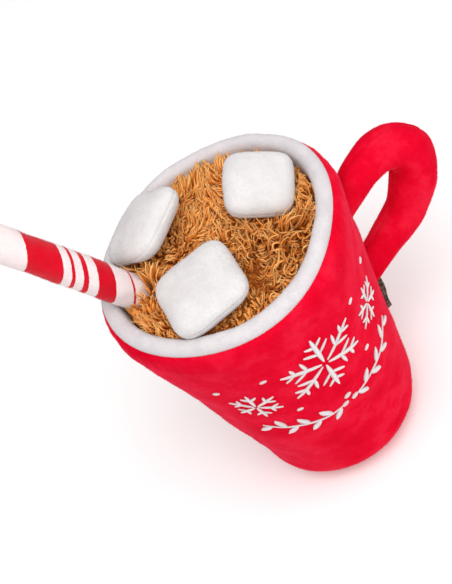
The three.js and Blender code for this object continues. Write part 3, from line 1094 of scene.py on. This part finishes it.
def sprig(flip):
    """A leafy sprig that runs out from the middle in a low arc and ends in a leaf, mirrored by flip."""
    share = np.linspace(0, 1, 60)
    line = np.stack([flip * (3 + 34 * share), 60 + 9 * share ** 2], axis=1) * MM
    strokes = [stroke(line, 1.3 * MM)]
    for number, place in enumerate((0.06, 0.20, 0.34, 0.48, 0.62, 0.76, 0.90)):
        index = int(place * (len(line) - 1))
        forward = line[index + 1] - line[index]
        way = math.atan2(forward[1], forward[0]) + flip * (0.9 if number % 2 else -0.9)
        strokes.append(straight(line[index], line[index] + 7.5 * MM * direction(way), 3.2 * MM, 0.06))
    return strokes


def ornament():
    """All strokes of the embroidery: snowflakes and berries over a pair of mirrored leafy sprigs."""
    strokes = snowflake(np.array([0, 94]) * MM, 18 * MM, 2.3 * MM, ((0.42, 0.36), (0.70, 0.24)))
    strokes += [berry(np.array(spot) * MM, 3.0 * MM) for spot in ((-2.6, 60), (0, 64.5), (2.6, 60))]
    for flip in (-1, 1):
        strokes += sprig(flip)
        strokes += snowflake(np.array([flip * 31, 88]) * MM, 10 * MM, 1.8 * MM, ((0.55, 0.36),))
        strokes += [berry(np.array([flip * across, height]) * MM, 2.4 * MM)
                    for across, height in ((18, 76), (21, 106), (40, 103))]
    return strokes


# Operators


class PLUSHMUG_OT_body(bpy.types.Operator):
    """Stuffed red velour body of the mug"""

    bl_idname = "plushmug.body"
    bl_label = "Mug body"

    def execute(self, context):
        around = 288
        profile = mug_profile()
        turn, rings = turned(profile, around)
        out = flank_normal(turn[None, :], profile[:, 1:])
        points, faces = capped(rings + out * self.relief(rings, turn, profile)[..., None])
        piece = new_object("body_cover", points, faces, velour())
        shown = (np.arange(len(profile)) < np.argmax(profile[:, 1])) & (profile[:, 1] > 3 * MM)
        keep(piece.data, "napped", np.append(np.repeat(shown, around), (0, 0)))
        finished(piece, "mug_body")
        return {"FINISHED"}

    def relief(self, rings, turn, profile):
        """How far the cover stands out or is pulled in: lumps of stuffing, seams and their gathers."""
        corner = sizes().corner_height
        height = profile[:, 1:]
        flank = smooth_step(height, *LUMPY_LOW) * (1 - smooth_step(height, *LUMPY_HIGH))
        from_side = SIDE_SEAM_WRAP * (turn - TURN * np.round(turn / TURN))[None, :]
        runs = runs_along(profile)[:, None]
        from_base = runs - runs[np.argmin(np.abs(height - BASE_SEAM_SHARE * corner))]
        low = height < corner
        gathers = np.sin(turn * GATHERS + 2 * np.sin(turn * 7))[None, :]
        at_rim = RIM_GATHERS * bell(height - RIM_GATHERS_HEIGHT, GATHER_REACH)
        at_base = BASE_GATHERS * bell(from_base, GATHER_REACH) * low
        lumpy = flank * (swelling("body", rings) - seam("side", from_side))
        return lumpy + gathers * (at_rim + at_base) - seam("base", from_base) * low


class PLUSHMUG_OT_handle(bpy.types.Operator):
    """Padded red loop of the handle"""

    bl_idname = "plushmug.handle"
    bl_label = "Handle"

    def route(self, count):
        """Even points along the handle's middle line, from a Catmull-Rom curve through its route."""
        given = np.array([(x, 0.0, z) for x, z in HANDLE_ROUTE]) * MM
        longer = np.concatenate([[2 * given[0] - given[1]], given, [2 * given[-1] - given[-2]]])
        share = np.linspace(0, 1, 24, endpoint=False)[:, None]
        spans = []
        for a, b, c, d in zip(longer, longer[1:], longer[2:], longer[3:]):
            spans.append(0.5 * (2 * b + (c - a) * share + (2 * a - 5 * b + 4 * c - d) * share ** 2
                                + (3 * b - a - 3 * c + d) * share ** 3))
        line = np.concatenate([*spans, given[-1:]])
        runs = runs_along(line)
        even = np.linspace(0, runs[-1], count)
        return np.stack([np.interp(even, runs, line[:, axis]) for axis in range(3)], axis=1)

    def execute(self, context):
        size = sizes()
        rows, around = 200, 96
        line = self.route(rows)
        sideways = np.array([0.0, 1.0, 0.0])
        across = np.cross(sideways, unit(np.gradient(line, axis=0)))
        bend = np.sin(np.linspace(0, math.pi, rows)) ** 4
        radius = size.handle_leg + (size.handle_bend - size.handle_leg) * bend
        turn = full_turn(around)
        out = np.cos(turn)[None, :, None] * across[:, None, :] + np.sin(turn)[None, :, None] * sideways
        rings = line[:, None, :] + radius[:, None, None] * out
        relief = swelling("handle", rings) - seam("handle", np.sin(turn) * size.handle_leg)[None, :]
        points, faces = capped(self.held_out(rings + out * relief[..., None]))
        piece = new_object("handle_cover", points, faces, velour())
        keep(piece.data, "napped", np.hypot(points[:, 0], points[:, 1]) > self.wall(points))
        finished(piece, "handle")
        return {"FINISHED"}

    def wall(self, points):
        """Radius of the mug's outside at the points of the handle."""
        turn = np.arctan2(points[..., 1], points[..., 0])
        return flank_radius(points[..., 2]) * unevenness(turn, points[..., 2])

    def held_out(self, rings):
        """Ends of the loop held just under the mug's cover, where they are sewn on."""
        reach = np.hypot(rings[..., 0], rings[..., 1])
        scale = np.maximum(reach, self.wall(rings) - SEWN_DEPTH) / reach
        return np.concatenate([rings[..., :2] * scale[..., None], rings[..., 2:]], axis=-1)


class PLUSHMUG_OT_rim(bpy.types.Operator):
    """Padded white fleece roll round the top of the wall"""

    bl_idname = "plushmug.rim"
    bl_label = "Rim"

    def execute(self, context):
        inner = sizes().rim_inner
        outer = sizes().seam_radius - 0.1 * MM
        middle, half = (outer + inner) / 2, (outer - inner) / 2
        foot = SEAM_HEIGHT - 0.2 * MM
        around = 360
        over = [(middle + half * math.cos(bend), foot + (RIM_TOP - foot) * math.sin(bend) ** 0.72)
                for bend in np.linspace(0, math.pi, 44)]
        inside = [(inner - drop * 0.08, foot - drop) for drop in np.linspace(0.6, 6, 8) * MM]
        under = [(inner + 1.2 * MM, foot - 6.4 * MM), (middle, foot - 4 * MM),
                 (outer - 2.4 * MM, foot - 1.0 * MM), (outer - 1.2 * MM, foot - 0.5 * MM)]
        profile = np.array(over + inside + under)
        turn, rings = turned(profile, around)
        rings[..., 2] += smooth_step(profile[:, 1:], foot, foot + 2 * MM) * swelling("rim", rings)
        faces = quads(len(profile), around, wrap=True)
        piece = new_object("rim_cover", rings.reshape(-1, 3), faces, rim_fleece())
        shown = np.arange(len(profile)) < len(over) + 2
        keep(piece.data, "napped", np.repeat(shown, around))
        finished(piece, "rim")
        return {"FINISHED"}


class PLUSHMUG_OT_marshmallows(bpy.types.Operator):
    """Three stuffed fleece pillows"""

    bl_idname = "plushmug.marshmallows"
    bl_label = "Marshmallows"

    def execute(self, context):
        thickness = sizes().pillow_thickness - SEWN_THINNER
        height, breadth = PILLOW_LUMPS
        for number, (node, side, lean, turn) in enumerate(MARSHMALLOWS):
            sewn, faces = pillow(side - SEWN_NARROWER, thickness, 30)
            points = stuffed(sewn, faces)
            swell = height * lumps(points, breadth, PILLOW_SEED + number)
            relief = swell - seam("marshmallow", np.abs(sewn[:, 2]))
            points = points + unit(points) * relief[:, None]
            centre, tilt = pillow_frame(node, lean, turn)
            piece = new_object(node + "_cover", points @ tilt.T + centre, faces, fleece())
            keep(piece.data, "napped", points[:, 2] > -2 * MM)
            subdivided(piece)
            finished(piece, node)
        return {"FINISHED"}


class PLUSHMUG_OT_straw(bpy.types.Operator):
    """Stuffed straw with printed slanted stripes"""

    bl_idname = "plushmug.straw"
    bl_label = "Straw"

    def execute(self, context):
        size = sizes()
        radius, top = size.straw_radius, size.straw_length
        flat = radius - STRAW_ROUNDING
        around = 80
        side = [(radius, along) for along in np.linspace(0, top - STRAW_ROUNDING, 120)]
        end = [(flat + STRAW_ROUNDING * math.cos(bend), top - STRAW_ROUNDING * (1 - math.sin(bend)))
               for bend in np.linspace(0, math.pi / 2, 9)[1:]]
        disc = [(flat - 0.5 * MM, top - 0.7 * MM), (flat - 1.1 * MM, top - 0.3 * MM),
                (1.5 * MM, top + 0.3 * MM)]
        profile = np.array(side + end + disc)
        turn = full_turn(around)
        way = np.stack([np.cos(turn), np.sin(turn), np.zeros(around)], axis=1)
        rings = profile[:, :1, None] * way[None] + profile[:, 1:, None] * np.array([0.0, 0.0, 1.0])
        off_seam = np.angle(np.exp(1j * (turn - STRAW_FACE_ANGLE - math.pi)))
        relief = swelling("straw", rings) - seam("straw", off_seam * radius)[None, :]
        points, faces = capped(rings + way[None] * relief[..., None])
        tilt = np.array(Matrix.Rotation(-size.straw_lean, 3, "Y"))
        piece = new_object("straw_cover", points @ tilt.T + np.array(STRAW_FOOT), faces, striped_plush())
        keep(piece.data, "napped", points[:, 2] > STRAW_ENTRY)
        finished(piece, "straw")
        return {"FINISHED"}


class PLUSHMUG_OT_pile(bpy.types.Operator):
    """Curly brown pile of the drink, on its backing"""

    bl_idname = "plushmug.pile"
    bl_label = "Cocoa pile"

    def execute(self, context):
        size = sizes()
        backing = self.backing()
        tree = strand_tree()
        cloth = cocoa_fabric()
        for name, long, width, seed in PILE_LAYERS:
            inputs = {"Spacing": size.strand_spacing, "Length": long * size.strand_length,
                      "Width": width * size.strand_width, "Curl": size.strand_curl, "Lock": size.lock,
                      "Points": STRAND_POINTS}
            finished(grown(name, backing, tree, inputs, seed, cloth), None)
        finished(backing, "cocoa_pile")
        return {"FINISHED"}

    def backing(self):
        """Domed backing that carries where strands grow, how long they are and how they are combed."""
        size = sizes()
        turn = full_turn(168)[None, :]
        share = np.linspace(0.01, 1, 56)[:, None]
        top = round_point(turn, share * size.pile_radius, size.pile_edge + size.pile_dome * (1 - share ** 2))
        mound = bell(from_straw(top) - size.straw_radius, PILE_MOUND_REACH) * smooth_step(share, 0.92, 0.68)
        top[..., 2] += PILE_MOUND * mound
        under = round_point(turn, np.array([[0.97], [0.2]]) * size.pile_radius, size.pile_edge - 6 * MM)
        points, faces = capped(np.concatenate([top, under]))
        piece = new_object("pile_backing", points, faces, backing_fabric())
        for title, values in self.grooming(places(piece.data)).items():
            keep(piece.data, title, values)
        return piece

    def grooming(self, points):
        """Cover, growth, looseness and combing of the pile at points of its backing."""
        size = sizes()
        turn = np.arctan2(points[:, 1], points[:, 0])
        share = np.hypot(points[:, 0], points[:, 1]) / unevenness(turn, points[:, 2]) / size.pile_radius
        tousled = bell(np.linalg.norm(points[:, :2] - TOUSLED_SPOT, axis=1), TOUSLED_REACH)
        fanned = smooth_step(points[:, :2] @ FANNED_WAY, 8 * MM, 26 * MM)
        cover = ((points[:, 2] > size.pile_edge - 0.2 * MM) & (share < 0.995)) * (1 - 0.4 * tousled)
        loose = 0.16 + 0.74 * tousled
        growth = np.ones(len(points))
        comb = np.zeros((len(points), 3))
        flat_comb = comb[:, :2]
        flat_comb += COMBED * (1 - 0.6 * tousled[:, None]) * COMBED_WAY
        flat_comb += FANNED * fanned[:, None] * FANNED_WAY
        for axis in (0, 1):
            comb[:, axis] += 0.3 * lumps(points, 18 * MM, 41 + axis)
        for node, side, lean, spin in MARSHMALLOWS:
            centre, tilt = pillow_frame(node, lean, spin)
            local = (points - centre) @ tilt
            spread = np.hypot(local[:, 0], local[:, 1])
            edge = side / 2 * square_reach(np.arctan2(local[:, 1], local[:, 0]))
            flat = np.clip(spread / edge, 0, 1) ** (1 / PILLOW_PUFF)
            room = -local[:, 2] - size.pillow_thickness / 2 * np.sqrt(1 - flat ** 2)
            under = 1 - smooth_step(spread - edge, -1 * MM, 0.5 * MM)
            cover *= 1 - under * (1 - smooth_step(room, 0.5 * MM, 2.5 * MM))
            growth *= 1 - under * (1 - np.clip(room / size.strand_length, 0.25, 0.75))
            growth *= 1 - 0.5 * bell(spread - edge, 4.5 * MM)
            push = 0.7 * (1 - smooth_step(spread - edge, -2 * MM, 3 * MM))
            outward = points[:, :2] - centre[:2]
            outward /= np.maximum(np.linalg.norm(outward, axis=1, keepdims=True), 1 * MM)
            flat_comb += push[:, None] * outward
        gap = from_straw(points) - size.straw_radius
        beside = 1 - smooth_step(gap, 0, 5 * MM)
        cover *= smooth_step(gap, -1.0 * MM, 0.2 * MM)
        growth += (1.3 - growth) * beside
        comb *= (1 - 0.85 * beside)[:, None]
        near_rim = smooth_step(share, 0.80, 1.0)
        flat_comb *= (1 - 0.55 * near_rim)[:, None]
        radial = np.stack([np.cos(turn), np.sin(turn)], axis=1)
        outward = np.maximum((flat_comb * radial).sum(axis=1), 0)
        flat_comb -= (near_rim * outward)[:, None] * radial
        comb *= 0.9 / np.maximum(np.linalg.norm(comb, axis=1, keepdims=True), 0.9)
        far = smooth_step(points[:, 1], 0, 22 * MM)
        flat_comb += (0.15 * near_rim * far)[:, None] * radial
        growth *= 1 - 0.35 * near_rim
        loose *= 1 - 0.55 * near_rim
        return {"cover": cover, "growth": growth, "loose": loose, "comb": comb}


class PLUSHMUG_OT_tab(bpy.types.Operator):
    """Folded dark ribbon caught in the side seam"""

    bl_idname = "plushmug.tab"
    bl_label = "Side tab"

    def execute(self, context):
        size = sizes()
        rows = 40
        inner = RIBBON_GAP / 2
        outer = inner + RIBBON
        bends = np.linspace(-math.pi / 2, math.pi / 2, 13)
        rings = []
        for height in np.linspace(size.tab_low, size.tab_high, rows):
            wall = float(flank_radius(height) * unevenness(0.0, height))
            root = wall - SEWN_DEPTH
            tip = wall + size.tab_reach - outer + 0.25 * MM * math.sin(height / (2.2 * MM))
            skin = [(tip + outer * math.cos(bend), outer * math.sin(bend)) for bend in bends]
            core = [(tip + inner * math.cos(bend), inner * math.sin(bend)) for bend in bends[::-1]]
            outline = [(root, -outer), *skin, (root, outer), (root, inner), *core, (root, -inner)]
            rings.append([(x, y, height) for x, y in outline])
        points = np.array(rings)
        around = points.shape[1]
        faces = quads(rows, around)
        for first in (0, (rows - 1) * around):
            last = first + around - 1
            faces += [(first + i, first + i + 1, last - i - 1, last - i) for i in range(around // 2 - 1)]
        piece = new_object("tab_ribbon", points.reshape(-1, 3), faces, ribbon_fabric())
        finished(piece, "side_tab")
        return {"FINISHED"}


class PLUSHMUG_OT_embroidery(bpy.types.Operator):
    """White satin-stitch ornament on the front"""

    bl_idname = "plushmug.embroidery"
    bl_label = "Embroidery"

    def execute(self, context):
        thread = sizes().thread
        points, edges, outward, half = [], [], [], []
        skin = self.skin()
        for line, widths in ornament():
            first = len(points)
            out = flank_normal(FRONT_ANGLE + line[:, 0] / FRONT_RADIUS, line[:, 1])
            laid = np.array([skin.find_nearest(Vector(spot))[0] for spot in on_front(line)])
            points += (laid + STITCH_LIFT * out).tolist()
            outward += out.tolist()
            half += widths.tolist()
            edges += [(i, i + 1) for i in range(first, len(points) - 1)]
        mesh = bpy.data.meshes.new("strokes")
        mesh.from_pydata(points, edges, [])
        strokes = bpy.data.objects.new("strokes", mesh)
        keep(mesh, "outward", outward)
        keep(mesh, "half_width", half)
        inputs = {"Spacing": 0.8 * thread, "Thread": thread, "Slant": STITCH_SLANT}
        piece = grown("embroidery", strokes, stitch_tree(), inputs, 6, thread_fabric())
        bpy.data.objects.remove(strokes)
        finished(piece)
        return {"FINISHED"}

    def skin(self):
        """The body's cover, for finding the nearest place on it."""
        cover = bpy.data.objects["body_cover"].data
        return BVHTree.FromPolygons(places(cover).tolist(), [tuple(face.vertices) for face in cover.polygons])


class PLUSHMUG_OT_nap(bpy.types.Operator):
    """Short fibres that stand off the velour, the fleece and the printed plush"""

    bl_idname = "plushmug.nap"
    bl_label = "Nap"

    def execute(self, context):
        size = sizes()
        tree = nap_tree()
        for number, (cover, slot, density, long, brushing) in enumerate(NAPPED_COVERS):
            base = bpy.data.objects[cover]
            inputs = {"Density": density, "Length": long * size.nap, "Width": size.nap_fibre,
                      "Brushing": brushing, "Loose": NAP_LOOSE}
            name = cover.replace("cover", "nap")
            fibres = grown(name, base, tree, inputs, NAP_SEED + number, base.data.materials[0])
            finished(fibres, None)
        return {"FINISHED"}


class PLUSHMUG_OT_stage(bpy.types.Operator):
    """Pale floor, soft studio light and the camera"""

    bl_idname = "plushmug.stage"
    bl_label = "Stage"

    def execute(self, context):
        stage = context.scene.plush_stage
        self.floor()
        world = bpy.data.worlds.new("studio")
        context.scene.world = world
        world.use_nodes = True
        sky = world.node_tree.nodes["Background"]
        sky.inputs["Color"].default_value = (1.0, 1.0, 1.0, 1.0)
        sky.inputs["Strength"].default_value = stage.sky
        self.softbox("key_light", stage.key, KEY_WIDTH, KEY_PLACE)
        self.softbox("fill_light", stage.fill, FILL_WIDTH, FILL_PLACE)
        camera = bpy.data.objects.new("camera", bpy.data.cameras.new("camera"))
        context.scene.collection.objects.link(camera)
        camera.data.lens = stage.lens
        camera.data.sensor_width = 36.0
        camera.data.clip_start = 0.01
        camera.data.clip_end = 20.0
        turn = (Matrix.Rotation(stage.azimuth, 4, "Z")
                @ Matrix.Rotation(math.pi / 2 - stage.elevation, 4, "X")
                @ Matrix.Rotation(stage.roll, 4, "Z"))
        camera.matrix_world = Matrix.Translation(Vector(stage.place)) @ turn
        context.scene.camera = camera
        context.scene.view_settings.view_transform = "Standard"
        return {"FINISHED"}

    def softbox(self, name, power, width, place):
        """A square soft light that faces the mug."""
        light = bpy.data.lights.new(name, "AREA")
        light.energy = power
        light.size = width
        lamp = bpy.data.objects.new(name, light)
        lamp.location = place
        lamp.rotation_euler = (LIT_POINT - Vector(place)).to_track_quat("-Z", "Y").to_euler()
        bpy.context.scene.collection.objects.link(lamp)

    def floor(self):
        """A wide pale floor with a faint mottle."""
        material, nodes, shader, vector = new_material("studio_floor")
        tone = colours().floor
        soft = nodes.ranged(nodes.noise(vector, 3.0, 2.0), 0.3, 0.7)
        nodes.feed(shader.inputs["Base Color"], nodes.blended(soft, opaque(tone), opaque(darker(tone, 0.99))))
        shader.inputs["Roughness"].default_value = 0.8
        corners = [(x * FLOOR_HALF, y * FLOOR_HALF, 0) for x, y in ((-1, -1), (1, -1), (1, 1), (-1, 1))]
        ground = new_object("studio_floor", corners, [(0, 1, 2, 3)], material)


class PLUSHMUG_PT_panel(bpy.types.Panel):
    """Sizes, colours and steps of the toy"""

    bl_idname = "PLUSHMUG_PT_panel"
    bl_label = "Plush Mug"
    bl_space_type = "VIEW_3D"
    bl_region_type = "UI"
    bl_category = "Plush Mug"

    def draw(self, context):
        layout = self.layout
        for operator in OPERATORS:
            layout.operator(operator.bl_idname)
        for name, kind in GROUPS:
            box = layout.box()
            for title in kind.__annotations__:
                box.prop(getattr(context.scene, name), title)


OPERATORS = (
    PLUSHMUG_OT_stage,
    PLUSHMUG_OT_body,
    PLUSHMUG_OT_handle,
    PLUSHMUG_OT_rim,
    PLUSHMUG_OT_marshmallows,
    PLUSHMUG_OT_straw,
    PLUSHMUG_OT_pile,
    PLUSHMUG_OT_tab,
    PLUSHMUG_OT_embroidery,
    PLUSHMUG_OT_nap,
)
GROUPS = (("plush_sizes", PlushSizes), ("plush_colours", PlushColours), ("plush_stage", PlushStage))


def register():
    for name, group in GROUPS:
        bpy.utils.register_class(group)
        setattr(bpy.types.Scene, name, bpy.props.PointerProperty(type=group))
    for kind in (*OPERATORS, PLUSHMUG_PT_panel):
        bpy.utils.register_class(kind)


def unregister():
    for kind in reversed((*OPERATORS, PLUSHMUG_PT_panel)):
        bpy.utils.unregister_class(kind)
    for name, group in reversed(GROUPS):
        delattr(bpy.types.Scene, name)
        bpy.utils.unregister_class(group)


def main():
    """Builds the toy and its stage."""
    register()
    bpy.ops.plushmug.stage()
    bpy.ops.plushmug.body()
    bpy.ops.plushmug.handle()
    bpy.ops.plushmug.rim()
    bpy.ops.plushmug.marshmallows()
    bpy.ops.plushmug.straw()
    bpy.ops.plushmug.pile()
    bpy.ops.plushmug.tab()
    bpy.ops.plushmug.embroidery()
    bpy.ops.plushmug.nap()
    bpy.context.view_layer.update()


if __name__ == "__main__":
    main()
